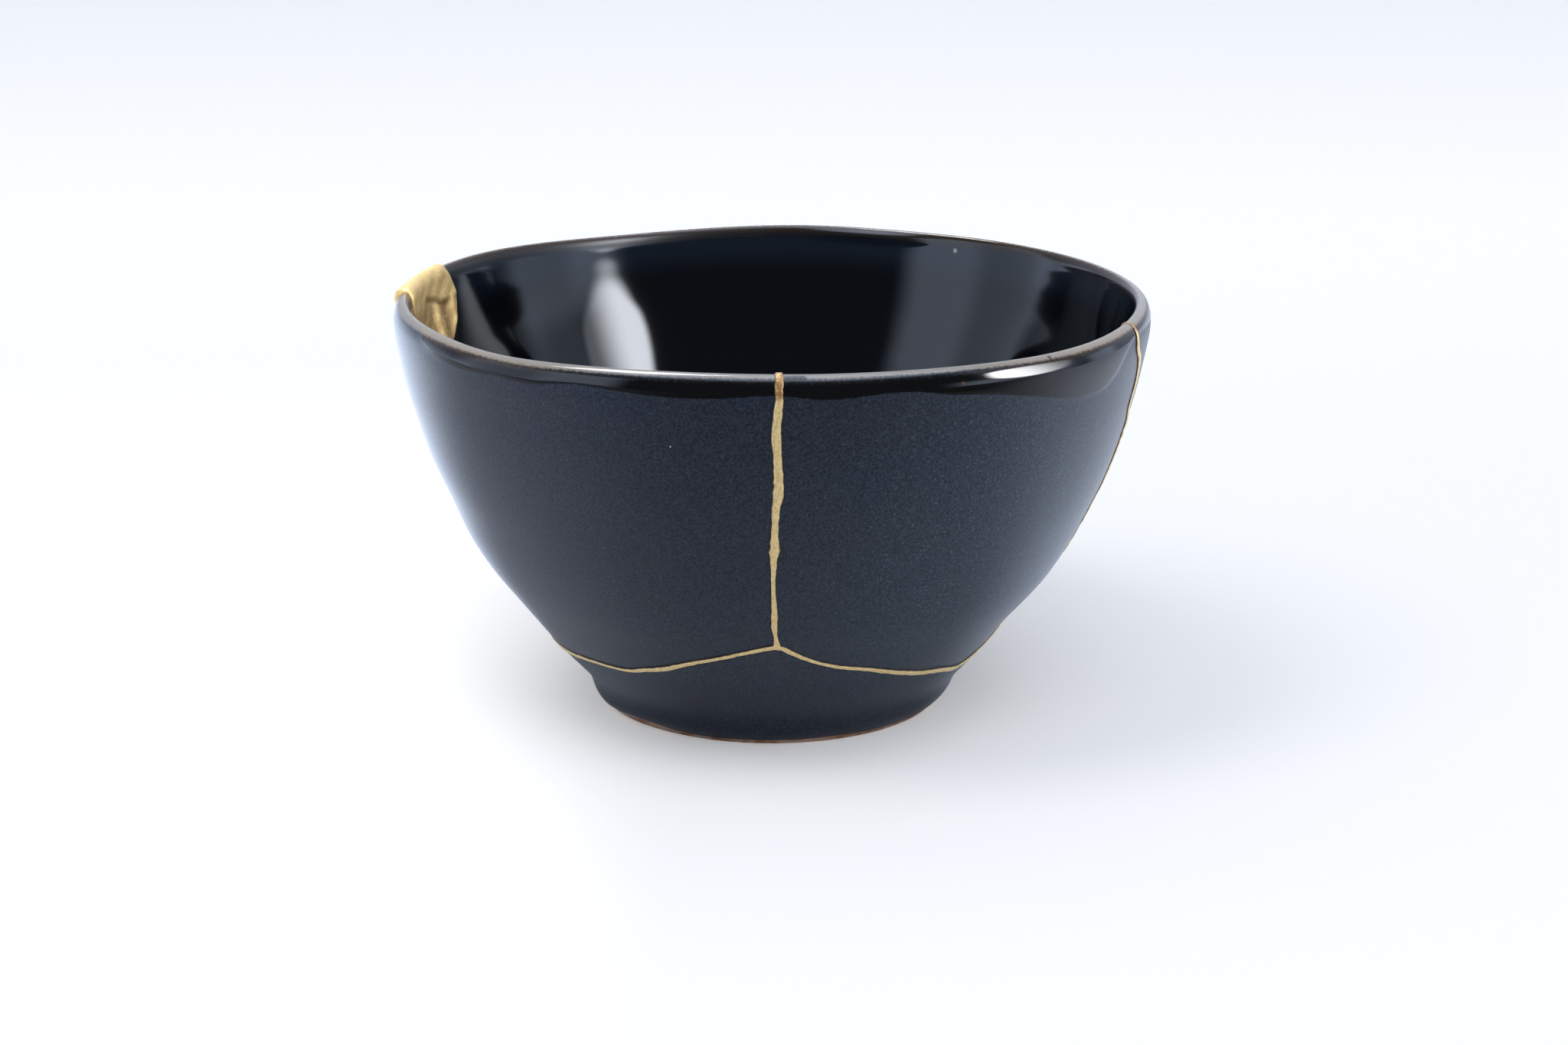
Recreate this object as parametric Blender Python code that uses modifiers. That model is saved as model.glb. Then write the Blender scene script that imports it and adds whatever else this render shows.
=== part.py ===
# Kintsugi bowl: a hand-formed glazed bowl that broke into three shards, joined again with gold lacquer.
# Metres, +Z up. The origin is the middle of the foot, on the surface that the bowl stands on.
# The front of the bowl, with its upright seam, looks along -Y. Angles run round the bowl from there,
# in degrees, positive towards +X.
import math

import bmesh
import bpy
import numpy as np
from mathutils import Vector

MM = 0.001

# Driving dimensions
HEIGHT = 83.5 * MM
RIM_RADIUS = 75.55 * MM
FOOT_RADIUS = 34.4 * MM
WALL_AT_RIM = 4.0 * MM
WALL_AT_FOOT = 4.8 * MM
RIM_ROUNDING = 4.4 * MM
RIM_CREST_FROM_OUTSIDE = 2.65 * MM
FLOOR_HEIGHT = 11.0 * MM
FOOT_RECESS = 5.5 * MM
FOOT_RING_WIDTH = 4.8 * MM
FOOT_BEVEL = 0.5 * MM
RECESS_CORNER = 1.5 * MM
RECESS_SIDE_SHARE = 0.6

# The gold stands a little proud of the glaze, and each piece keeps a small gap to its neighbours
SEAM_PROUD = 0.3 * MM
FILL_PROUD = 0.6 * MM
GAP = 0.3 * MM

# How finely the round forms are faceted
ROUND_SEGMENTS = 60
OUTER_STEPS = 2
FLOOR_STEPS = 2
FINE_STEPS = 8
INNER_WALL_STEP = 8
RIM_ARC_DEG = [150, 120, 90, 60, 30]
SEAM_STEP_DEG = 4.0
SEAM_STEP_HEIGHT = 4.0 * MM
MERGE_DISTANCE = 0.01 * MM
SHARP_ANGLE_DEG = 40.0

# The outer side from the foot to just under the rim, as (height, radius)
OUTER_SIDE = [
    (0.5 * MM, FOOT_RADIUS),
    (3.0 * MM, 36.7 * MM),
    (7.0 * MM, 38.8 * MM),
    (14.0 * MM, 45.1 * MM),
    (24.0 * MM, 53.3 * MM),
    (32.0 * MM, 59.05 * MM),
    (42.0 * MM, 64.5 * MM),
    (54.0 * MM, 69.35 * MM),
    (66.0 * MM, 72.9 * MM),
    (HEIGHT - RIM_ROUNDING, RIM_RADIUS),
]

# The inside below the wall: the floor's middle and two points of its curve, as (height, radius)
INNER_FLOOR = [
    (FLOOR_HEIGHT, 0.0),
    (FLOOR_HEIGHT + 0.4 * MM, 18.0 * MM),
    (FLOOR_HEIGHT + 2.6 * MM, 33.0 * MM),
]
INNER_WALL_FROM = 14.0 * MM

# What the potter's hands left, as (angle, height, depth, half width in degrees, half height).
# A negative depth is a dent, and the inside follows it.
DENTS = [
    (-80, 45.0 * MM, -0.55 * MM, 28, 6.5 * MM),
    (-80, 59.0 * MM, -0.20 * MM, 28, 9.0 * MM),
    (-72, 24.0 * MM, -0.45 * MM, 24, 8.0 * MM),
    (-76, 1.5 * MM, 0.70 * MM, 16, 2.5 * MM),
    (74, 19.5 * MM, -0.80 * MM, 26, 5.5 * MM),
    (72, 41.0 * MM, -0.30 * MM, 22, 7.0 * MM),
    (150, 40.0 * MM, -0.60 * MM, 30, 9.0 * MM),
]

# Where the rim dips below its full height or rises above it, as (angle, dip, half width in degrees)
RIM_DIPS = [
    (-44, 0.75 * MM, 15),
    (52, 0.95 * MM, 24),
    (-153, 0.60 * MM, 18),
    (159, 0.10 * MM, 14),
    (-118, -0.45 * MM, 20),
    (173, -0.25 * MM, 14),
    (-8, -0.15 * MM, 14),
]
RIM_WAVE_FROM = 45.0 * MM
RIM_LIFT = 0.15 * MM

# The breaks, as (angle, height, width of the gold)
FRONT_BREAK = [
    (1.35, 90.0 * MM, 1.1 * MM),
    (1.25, 81.5 * MM, 1.1 * MM),
    (0.60, 73.0 * MM, 1.6 * MM),
    (0.90, 63.0 * MM, 1.7 * MM),
    (0.35, 52.0 * MM, 1.2 * MM),
    (0.15, 42.0 * MM, 0.7 * MM),
    (0.35, 33.5 * MM, 1.0 * MM),
    (0.95, 27.1 * MM, 1.1 * MM),
]
SIDE_BREAK = [
    (68.6, 90.0 * MM, 1.2 * MM),
    (67.8, 80.5 * MM, 1.2 * MM),
    (72.4, 73.0 * MM, 1.3 * MM),
    (72.8, 65.0 * MM, 1.2 * MM),
    (76.0, 55.0 * MM, 1.0 * MM),
    (79.0, 38.0 * MM, 1.0 * MM),
    (84.0, 20.5 * MM, 1.1 * MM),
]
BASE_BREAK = [
    (-60.0, 15.4 * MM, 1.1 * MM),
    (-50.0, 16.2 * MM, 0.6 * MM),
    (-37.0, 16.7 * MM, 0.7 * MM),
    (-24.0, 19.6 * MM, 1.2 * MM),
    (-10.0, 24.1 * MM, 0.8 * MM),
    (0.95, 27.1 * MM, 1.2 * MM),
    (9.0, 22.9 * MM, 0.7 * MM),
    (21.0, 19.8 * MM, 0.9 * MM),
    (38.0, 15.7 * MM, 1.2 * MM),
    (55.0, 12.9 * MM, 1.3 * MM),
    (72.0, 15.8 * MM, 1.0 * MM),
    (84.0, 20.5 * MM, 1.1 * MM),
    (98.0, 17.6 * MM, 0.9 * MM),
    (128.0, 16.6 * MM, 0.8 * MM),
    (160.0, 20.4 * MM, 1.0 * MM),
    (195.0, 18.2 * MM, 0.8 * MM),
    (230.0, 19.4 * MM, 1.0 * MM),
    (262.0, 16.2 * MM, 0.9 * MM),
    (284.0, 15.0 * MM, 1.0 * MM),
]
BREAK_REACH = 3.0 * MM
WALL_NORMAL_UP_TO = 78.0 * MM

# The chip in the rim at the left: a scoop, deeper on the inside than on the outside
CHIP_ANGLE = -100.5
CHIP_CENTRE_RADIUS = 72.0 * MM
CHIP_HALF_WIDTH = 15.4 * MM
CHIP_HALF_DEPTH = 17.0 * MM
CHIP_HALF_THICKNESS = 8.0 * MM
CHIP_LEAN_DEG = 25.0
CHIP_SEGMENTS = 24
CHIP_RINGS = 16

# Colour, roughness and metallic value of each finish
GLAZE = ((0.020, 0.030, 0.045, 1.0), 0.38, 0.0)
GOLD = ((0.80, 0.60, 0.28, 1.0), 0.42, 1.0)


def clear_scene():
    for item in list(bpy.data.objects):
        bpy.data.objects.remove(item, do_unlink=True)


def new_collection(name):
    collection = bpy.data.collections.get(name) or bpy.data.collections.new(name)
    if collection.name not in bpy.context.scene.collection.children:
        bpy.context.scene.collection.children.link(collection)
    return collection


def new_material(name, finish):
    colour, roughness, metallic = finish
    material = bpy.data.materials.new(name)
    material.use_nodes = True
    shader = material.node_tree.nodes["Principled BSDF"]
    shader.inputs["Base Color"].default_value = colour
    shader.inputs["Roughness"].default_value = roughness
    shader.inputs["Metallic"].default_value = metallic
    material.diffuse_color = colour
    return material


def smooth_curve(points, steps):
    # A Catmull-Rom curve through the points, with this many steps between each two
    given = np.array(points, float)
    padded = np.vstack([2 * given[0] - given[1], given, 2 * given[-1] - given[-2]])
    curve = []
    for before, start, end, after in zip(padded, padded[1:], padded[2:], padded[3:]):
        for step in range(steps):
            t = step / steps
            curve.append(0.5 * (2 * start + (end - before) * t
                                + (2 * before - 5 * start + 4 * end - after) * t ** 2
                                + (3 * start - before - 3 * end + after) * t ** 3))
    curve.append(given[-1])
    return np.array(curve)


def outward_normals(side):
    # Unit normals of an outline that runs upwards as (height, radius), pointing away from the axis
    along = np.gradient(side, axis=0)
    along /= np.linalg.norm(along, axis=1)[:, None]
    return np.stack([-along[:, 1], along[:, 0]], axis=1)


def outer_outline(steps=OUTER_STEPS):
    return smooth_curve(OUTER_SIDE, steps)


def inner_outline():
    # The floor's curve, then the outer side moved inwards by the wall, which is thicker near the foot
    outer = outer_outline(FINE_STEPS)
    normals = outward_normals(outer)
    height = outer[:, 0]
    share = np.clip((height - INNER_WALL_FROM) / (HEIGHT - INNER_WALL_FROM), 0, 1)
    wall = WALL_AT_FOOT + (WALL_AT_RIM - WALL_AT_FOOT) * share
    inner = outer - normals * wall[:, None]
    inner_wall = inner[height >= INNER_WALL_FROM - 1e-6][::INNER_WALL_STEP]
    inner_wall[-1] = (HEIGHT - RIM_ROUNDING, RIM_RADIUS - WALL_AT_RIM)
    floor = smooth_curve(INNER_FLOOR + [tuple(inner_wall[0]), tuple(inner_wall[1])], FLOOR_STEPS)
    return np.vstack([floor[:-FLOOR_STEPS - 1], inner_wall])


def rim_arc():
    # From the inside of the rim over its crest to the outside, which is the rounder side
    crest_radius = RIM_RADIUS - RIM_CREST_FROM_OUTSIDE
    arc = []
    for angle in np.radians(RIM_ARC_DEG):
        across = math.cos(angle)
        side = RIM_CREST_FROM_OUTSIDE if across > 0 else WALL_AT_RIM - RIM_CREST_FROM_OUTSIDE
        arc.append((HEIGHT - RIM_ROUNDING + RIM_ROUNDING * math.sin(angle), crest_radius + side * across))
    return np.array(arc)


def foot_outline():
    # The foot ring's flat underside with its bevels, then the recess and the underside of the floor
    ring_inside = FOOT_RADIUS - FOOT_RING_WIDTH
    floor_underside = FOOT_RECESS + FOOT_BEVEL / 2
    return np.array([
        (0.0, FOOT_RADIUS - FOOT_BEVEL),
        (0.0, ring_inside + FOOT_BEVEL),
        (FOOT_BEVEL, ring_inside),
        (FOOT_RECESS * RECESS_SIDE_SHARE, ring_inside - FOOT_BEVEL),
        (FOOT_RECESS, ring_inside - RECESS_CORNER),
        (floor_underside, ring_inside / 2),
        (floor_underside, 0.0),
    ])


def bowl_outline(proud=0.0):
    # The whole section, from the middle of the floor over the rim and down to the foot's recess
    section = np.vstack([inner_outline(), rim_arc(), outer_outline()[::-1], foot_outline()])
    if proud == 0.0:
        return section
    along = np.gradient(section, axis=0)
    along /= np.linalg.norm(along, axis=1)[:, None]
    moved = section + np.stack([along[:, 1], -along[:, 0]], axis=1) * proud
    moved[:, 1] = np.maximum(moved[:, 1], 0.0)
    moved[0, 1] = moved[-1, 1] = 0.0
    return moved


def turn_between(angle, centre):
    return (angle - centre + 180.0) % 360.0 - 180.0


def dent_depth(angle, height):
    depth = 0.0
    for centre, level, amount, half_width, half_height in DENTS:
        across = turn_between(angle, centre) / half_width
        up = (height - level) / half_height
        depth += amount * math.exp(-across ** 2 - up ** 2)
    return depth


def rim_height(angle, height):
    # The rim's rise and fall, which dies out down the wall
    lift = RIM_LIFT
    for centre, dip, half_width in RIM_DIPS:
        lift -= dip * math.exp(-(turn_between(angle, centre) / half_width) ** 2)
    share = min(max((height - RIM_WAVE_FROM) / (HEIGHT - RIM_WAVE_FROM), 0.0), 1.0)
    return lift * share ** 2


def hand_formed(point):
    # Moves a point of the turned bowl to where it is on the hand-formed one
    radius = math.hypot(point.x, point.y)
    if radius < MM:
        return point.copy()
    angle = math.degrees(math.atan2(point.x, -point.y))
    new_radius = radius + dent_depth(angle, point.z)
    scale = new_radius / radius
    return Vector((point.x * scale, point.y * scale, point.z + rim_height(angle, point.z)))


def on_bowl(angle, height, radius):
    turn = math.radians(angle)
    return Vector((radius * math.sin(turn), -radius * math.cos(turn), height))


def apply_modifiers(item):
    depsgraph = bpy.context.evaluated_depsgraph_get()
    mesh = bpy.data.meshes.new_from_object(item.evaluated_get(depsgraph))
    item.modifiers.clear()
    item.data = mesh
    return item


def turned_bowl(name, collection, proud=0.0):
    section = bowl_outline(proud)
    mesh = bpy.data.meshes.new(name)
    points = [(radius, 0.0, height) for height, radius in section]
    mesh.from_pydata(points, [(i, i + 1) for i in range(len(points) - 1)], [])
    bowl = bpy.data.objects.new(name, mesh)
    collection.objects.link(bowl)
    screw = bowl.modifiers.new("turn", "SCREW")
    screw.steps = screw.render_steps = ROUND_SEGMENTS
    screw.use_merge_vertices = True
    screw.merge_threshold = MERGE_DISTANCE
    apply_modifiers(bowl)
    for vertex in bowl.data.vertices:
        vertex.co = hand_formed(vertex.co)
    return bowl


def wall_point_and_normal(angle, height):
    # The point of the outer side at this angle and height, and the way out of the wall there.
    # Above the rounding of the rim the wall's own direction is carried on upwards.
    outer = outer_outline(FINE_STEPS)
    normals = outward_normals(outer)
    level = min(height, WALL_NORMAL_UP_TO)
    radius = np.interp(level, outer[:, 0], outer[:, 1])
    normal_up = np.interp(level, outer[:, 0], normals[:, 0])
    normal_out = np.interp(level, outer[:, 0], normals[:, 1])
    point = hand_formed(on_bowl(angle, height, radius))
    return point, on_bowl(angle, normal_up, normal_out).normalized()


def break_line(stations, closed):
    # Evenly spaced points along a break, as (angle, height, width)
    line = list(stations)
    if closed:
        first = stations[0]
        line.append((first[0] + 360.0, first[1], first[2]))
    curve = smooth_curve(line, FINE_STEPS)
    steps = np.diff(curve, axis=0)
    lengths = np.hypot(steps[:, 0] / SEAM_STEP_DEG, steps[:, 1] / SEAM_STEP_HEIGHT)
    distance = np.concatenate([[0.0], np.cumsum(lengths)])
    count = int(round(distance[-1]))
    even = np.linspace(0.0, distance[-1], count + 1)
    return np.stack([np.interp(even, distance, curve[:, k]) for k in range(3)], axis=1)


def break_sheet(name, stations, closed, extra, collection):
    # The surface of one break, square to the wall, given the width of the gold in it
    line = break_line(stations, closed)
    if closed:
        line = line[:-1]
    mesh_maker = bmesh.new()
    if closed:
        bmesh.ops.create_cone(mesh_maker, segments=len(line), radius1=1.0, radius2=1.0, depth=2.0)
        rim = sorted(mesh_maker.verts, key=lambda v: math.atan2(v.co.y, v.co.x))
    else:
        bmesh.ops.create_grid(mesh_maker, x_segments=len(line) - 1, y_segments=1, size=1.0)
        rim = sorted(mesh_maker.verts, key=lambda v: round(v.co.x, 5))
    widths = {}
    for index, (angle, height, width) in enumerate(line):
        point, normal = wall_point_and_normal(angle, height)
        low, high = sorted(rim[2 * index:2 * index + 2], key=lambda v: v.co.z + v.co.y * (not closed))
        low.co = point + normal * BREAK_REACH
        high.co = point - normal * (WALL_AT_FOOT + 2 * BREAK_REACH)
        widths[low.index] = widths[high.index] = width + extra
    mesh = bpy.data.meshes.new(name)
    mesh_maker.to_mesh(mesh)
    mesh_maker.free()
    sheet = bpy.data.objects.new(name, mesh)
    collection.objects.link(sheet)
    widest = max(widths.values())
    group = sheet.vertex_groups.new(name="width")
    for vertex_index, width in widths.items():
        group.add([vertex_index], width / widest, "REPLACE")
    thicken = sheet.modifiers.new("gold width", "SOLIDIFY")
    thicken.thickness = widest
    thicken.offset = 0.0
    thicken.vertex_group = group.name
    mark_as_cutter(sheet)
    return apply_modifiers(sheet)


def chip_scoop(name, extra, collection):
    # A leaning ellipsoid that takes the broken piece out of the rim
    mesh_maker = bmesh.new()
    bmesh.ops.create_uvsphere(mesh_maker, u_segments=CHIP_SEGMENTS, v_segments=CHIP_RINGS, radius=1.0)
    mesh = bpy.data.meshes.new(name)
    mesh_maker.to_mesh(mesh)
    mesh_maker.free()
    scoop = bpy.data.objects.new(name, mesh)
    collection.objects.link(scoop)
    sizes = Vector((CHIP_HALF_WIDTH, CHIP_HALF_THICKNESS, CHIP_HALF_DEPTH)) + Vector((extra,) * 3)
    lean = math.radians(CHIP_LEAN_DEG)
    turn = math.radians(CHIP_ANGLE)
    centre = on_bowl(CHIP_ANGLE, HEIGHT, CHIP_CENTRE_RADIUS)
    for vertex in mesh.vertices:
        across, inwards, up = (vertex.co[k] * sizes[k] for k in range(3))
        leant_in = inwards * math.cos(lean) - up * math.sin(lean)
        leant_up = inwards * math.sin(lean) + up * math.cos(lean)
        vertex.co = centre + Vector((across * math.cos(turn) - leant_in * math.sin(turn),
                                     across * math.sin(turn) + leant_in * math.cos(turn), leant_up))
    mark_as_cutter(scoop)
    return scoop


def mark_as_cutter(item):
    item.hide_render = True
    item.display_type = "WIRE"


def combine(item, other, operation):
    boolean = item.modifiers.new(other.name, "BOOLEAN")
    boolean.operation = operation
    boolean.object = other
    boolean.solver = "EXACT"
    return apply_modifiers(item)


def loose_pieces(item):
    # Splits an object into the bodies that it fell into, as lists of faces
    mesh_maker = bmesh.new()
    mesh_maker.from_mesh(item.data)
    waiting = set(mesh_maker.faces)
    pieces = []
    while waiting:
        edge_of_search = [waiting.pop()]
        piece = list(edge_of_search)
        while edge_of_search:
            face = edge_of_search.pop()
            for edge in face.edges:
                for other in edge.link_faces:
                    if other in waiting:
                        waiting.discard(other)
                        edge_of_search.append(other)
                        piece.append(other)
        pieces.append(piece)
    return mesh_maker, pieces


def shard(name, mesh_maker, faces, collection):
    # Makes one of the bodies of the broken bowl into an object of its own
    copy = bmesh.new()
    made = {}
    for face in faces:
        for vertex in face.verts:
            if vertex not in made:
                made[vertex] = copy.verts.new(vertex.co)
        copy.faces.new([made[vertex] for vertex in face.verts])
    mesh = bpy.data.meshes.new(name)
    copy.to_mesh(mesh)
    copy.free()
    item = bpy.data.objects.new(name, mesh)
    collection.objects.link(item)
    return item


def finish(item, material):
    item.data.materials.clear()
    item.data.materials.append(material)
    item.data.shade_smooth()
    item.data.set_sharp_from_angle(angle=math.radians(SHARP_ANGLE_DEG))


def build():
    clear_scene()
    parts = new_collection("kintsugi_bowl")
    cutters = new_collection("cutters")
    glaze = new_material("dark_glaze", GLAZE)
    gold = new_material("gold_lacquer", GOLD)
    breaks = [("front", FRONT_BREAK, False), ("side", SIDE_BREAK, False), ("base", BASE_BREAK, True)]

    # The bowl is turned, formed by hand, chipped, and broken along the three breaks
    bowl = turned_bowl("whole_bowl", cutters)
    combine(bowl, chip_scoop("chip_cutter", GAP, cutters), "DIFFERENCE")
    for name, stations, closed in breaks:
        cutter = break_sheet(name + "_break_cutter", stations, closed, 2 * GAP, cutters)
        combine(bowl, cutter, "DIFFERENCE")
    mark_as_cutter(bowl)
    mesh_maker, pieces = loose_pieces(bowl)

    def lowest(faces):
        return min(vertex.co.z for face in faces for vertex in face.verts)

    pieces.sort(key=lambda faces: (lowest(faces) > MM, -len(faces)))
    names = ["base_shard", "left_wall_shard", "right_wall_shard"]
    for name, faces in zip(names, pieces):
        finish(shard(name, mesh_maker, faces, parts), glaze)
    mesh_maker.free()

    # The gold fills the breaks through the wall and stands a little proud of both sides
    seams = break_sheet("gold_seams", BASE_BREAK, True, 0.0, parts)
    for name, stations, closed in breaks[:2]:
        combine(seams, break_sheet(name + "_gold", stations, closed, 0.0, cutters), "UNION")
    combine(seams, turned_bowl("bowl_with_seam_height", cutters, SEAM_PROUD), "INTERSECT")
    seams.hide_render = False
    seams.display_type = "TEXTURED"
    finish(seams, gold)

    fill = turned_bowl("rim_gold_fill", parts, FILL_PROUD)
    combine(fill, chip_scoop("fill_outline", 0.0, cutters), "INTERSECT")
    finish(fill, gold)
    for item in cutters.objects:
        mark_as_cutter(item)


build()
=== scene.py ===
import math

import bpy
import numpy as np
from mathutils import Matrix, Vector


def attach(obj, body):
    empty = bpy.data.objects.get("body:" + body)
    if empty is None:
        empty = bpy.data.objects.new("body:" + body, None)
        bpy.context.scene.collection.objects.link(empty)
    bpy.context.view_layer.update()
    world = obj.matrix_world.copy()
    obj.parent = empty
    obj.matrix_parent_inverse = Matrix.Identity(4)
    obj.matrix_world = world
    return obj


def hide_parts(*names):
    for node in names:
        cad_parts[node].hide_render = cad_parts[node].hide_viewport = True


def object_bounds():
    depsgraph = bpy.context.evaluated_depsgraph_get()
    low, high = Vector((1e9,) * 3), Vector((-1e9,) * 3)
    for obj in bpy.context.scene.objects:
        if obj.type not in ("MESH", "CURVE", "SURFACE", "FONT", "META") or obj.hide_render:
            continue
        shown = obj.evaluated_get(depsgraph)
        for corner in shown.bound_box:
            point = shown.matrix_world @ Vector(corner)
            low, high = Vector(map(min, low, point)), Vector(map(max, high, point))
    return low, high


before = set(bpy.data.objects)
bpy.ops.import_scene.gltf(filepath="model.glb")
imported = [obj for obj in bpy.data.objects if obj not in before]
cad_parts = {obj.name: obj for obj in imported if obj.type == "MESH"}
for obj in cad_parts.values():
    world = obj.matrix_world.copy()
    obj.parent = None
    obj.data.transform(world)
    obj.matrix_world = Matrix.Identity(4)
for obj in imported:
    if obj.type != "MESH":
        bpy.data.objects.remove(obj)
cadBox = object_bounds()

bowl = {
    "height": 83.5,            # crest of the rim above the foot
    "rimRadius": 75.55,
    "wallAtRim": 4.0,
    "wallAtFoot": 4.8,
    "innerWallFrom": 14.0,     # level where the floor's curve turns into the inner wall
    "innerSwell": (45, 0.8, 16),    # the wall is a little thicker halfway up: level, extra, reach
    "rimRounding": 4.4,
    "crestFromOutside": 2.65,  # the crest stands nearer the inside, so the outside is the rounder side
    "rimWaveFrom": 45.0,       # level where the rim's rise and fall dies out
    "rimLift": 0.15,
    "outerSide": [(0.5, 34.4), (3, 36.7), (7, 38.8), (14, 45.1), (24, 53.3), (32, 59.05),
                  (42, 64.5), (54, 69.35), (66, 72.9), (79.1, 75.55)],                 # (height, radius)
    "innerFloor": [(11, 0), (11.4, 18), (13.6, 33)],
    "footRing": [(0, 33.9), (0, 30.1), (0.5, 29.6), (3.3, 29.1), (5.5, 28.1), (5.75, 14.8), (5.75, 0)],
    # what the hands left, as (angle, height, depth, width in degrees, reach); a negative depth is a dent
    "dents": [(-80, 45, -0.55, 28, 6.5), (-80, 59, -0.2, 28, 9), (-72, 24, -0.45, 24, 8),
              (-66, 1.3, 0.9, 20, 2.2), (74, 19.5, -0.8, 26, 5.5), (72, 41, -0.3, 22, 7),
              (150, 40, -0.6, 30, 9)],
    # swellings of the inside alone, in the same terms
    "innerBulges": [(-113, 60, 0.9, 13, 9), (116, 60, 0.9, 13, 9), (163, 81.8, 0.6, 8.5, 1.1)],
    # where the rim dips or rises, as (angle, dip, width in degrees)
    "rimDips": [(-44, 0.75, 15), (52, 0.95, 24), (-153, 0.6, 18), (159, 0.1, 14), (-118, -0.45, 20),
                (173, -0.25, 14), (-8, -0.15, 14)],
}
mm = cadBox[1].x / bowl["rimRadius"]       # the frame's rim gives the size of a drawn millimetre

# the section of the bowl, from the middle of the floor over the rim to the middle of the underside

def smoothCurve(points, steps):
    given = np.array(points, float)
    padded = np.vstack([2 * given[0] - given[1], given, 2 * given[-1] - given[-2]])
    t = (np.arange(steps) / steps)[:, None]
    pieces = []
    for before, start, end, after in zip(padded, padded[1:], padded[2:], padded[3:]):
        pieces.append(0.5 * (2 * start + (end - before) * t
                             + (2 * before - 5 * start + 4 * end - after) * t ** 2
                             + (3 * start - before - 3 * end + after) * t ** 3))
    return np.vstack(pieces + [given[-1:]])


def evenlySpaced(line, step):
    lengths = np.hypot(*np.diff(line, axis=0).T)
    distance = np.concatenate([[0], np.cumsum(lengths)])
    even = np.linspace(0, distance[-1], int(distance[-1] / step) + 1)
    return np.stack([np.interp(even, distance, line[:, k]) for k in range(2)], axis=1)


def unitAlong(line):
    along = np.gradient(line, axis=0)
    return along / np.linalg.norm(along, axis=1)[:, None]


def ramp(value, low, high):
    share = np.clip((value - low) / (high - low), 0, 1)
    return share * share * (3 - 2 * share)


def softened(line, reach):
    kernel = np.exp(-0.5 * (np.arange(-3 * reach, 3 * reach + 1) / reach) ** 2)
    kernel /= kernel.sum()
    padded = np.pad(line, ((3 * reach, 3 * reach), (0, 0)), mode="edge")
    return np.stack([np.convolve(padded[:, k], kernel, mode="valid") for k in range(2)], axis=1)


def makeSection():
    outer = smoothCurve(bowl["outerSide"], 40)
    along = unitAlong(outer)
    upAndOut = np.stack([-along[:, 1], along[:, 0]], axis=1)
    share = np.clip((outer[:, 0] - bowl["innerWallFrom"]) / (bowl["height"] - bowl["innerWallFrom"]), 0, 1)
    level, extra, reach = bowl["innerSwell"]
    wall = bowl["wallAtFoot"] + (bowl["wallAtRim"] - bowl["wallAtFoot"]) * share
    wall = wall + extra * np.exp(-((outer[:, 0] - level) / reach) ** 2)
    inner = outer - upAndOut * wall[:, None]
    arcTop = bowl["height"] - bowl["rimRounding"]
    below = outer[:, 0] < arcTop - 1.5
    innerWall = inner[below & (outer[:, 0] >= bowl["innerWallFrom"])]
    floor = smoothCurve(bowl["innerFloor"] + [tuple(innerWall[0]), tuple(innerWall[40])], 40)[:-40]
    turn = np.radians(np.linspace(165, 15, 40))
    fromOutside = bowl["crestFromOutside"]
    side = np.where(np.cos(turn) > 0, fromOutside, bowl["wallAtRim"] - fromOutside)
    rim = np.stack([arcTop + bowl["rimRounding"] * np.sin(turn),
                    bowl["rimRadius"] - fromOutside + side * np.cos(turn)], axis=1)
    footRing = np.array(bowl["footRing"], float)
    line = evenlySpaced(np.vstack([floor, innerWall[1:], rim, outer[below][::-1], footRing]), 0.1)
    soft = softened(line, 3)
    softer = softened(line, 12)
    fromRim = np.abs(np.arange(len(line)) - line[:, 0].argmax()) * 0.1
    shoulder = (ramp(fromRim, 1.5, 3.5) * (1 - ramp(fromRim, 7, 10)))[:, None]
    line = soft * (1 - shoulder) + softer * shoulder
    line[0, 1] = line[-1, 1] = 0
    along = unitAlong(line)
    station = np.concatenate([[0], np.cumsum(np.hypot(*np.diff(line, axis=0).T))])
    crest = line[:, 0].argmax()
    return {"station": station - station[crest], "height": line[:, 0], "radius": line[:, 1],
            "up": along[:, 1], "out": -along[:, 0], "crest": crest,
            "outer": outer, "inner": inner}


section = makeSection()
crest = section["crest"]
print("section of", len(section["height"]), "points, wall", bowl["wallAtRim"], "to", bowl["wallAtFoot"], "mm")


def outsideAt(level):
    # station of the outer side at this level of the wall
    heights = section["height"][crest:]
    lowest = heights.argmin()
    return np.interp(-level, -heights[:lowest], section["station"][crest:crest + lowest])


def insideAt(level):
    # station of the inner side square through the wall from that level
    height = np.interp(level, section["outer"][:, 0], section["inner"][:, 0])
    return np.interp(height, section["height"][:crest], section["station"][:crest])


def turnBetween(angle, centre):
    return (angle - centre + 180) % 360 - 180


def potterWaves(angle, height):
    # the wall's slight unevenness: soft throwing rings and patches left by the hands
    turn = np.radians(angle)
    rings = 0.006 * np.sin(height / 1.45 + 0.5 * np.sin(turn * 2 + 0.4))
    patches = 0.04 * np.sin(5 * turn + height / 21 + 0.7) * np.sin(height / 9.5 + 2 * np.sin(turn + 0.5))
    return (rings + patches) * ramp(height, 5, 14) * (1 - 0.6 * ramp(height, 74, 82))


def rimRise(angle, height):
    rise = bowl["rimLift"] + 0 * angle
    for centre, dip, width in bowl["rimDips"]:
        rise = rise - dip * np.exp(-(turnBetween(angle, centre) / width) ** 2)
    share = np.clip((height - bowl["rimWaveFrom"]) / (bowl["height"] - bowl["rimWaveFrom"]), 0, 1)
    return rise * share ** 2


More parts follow.
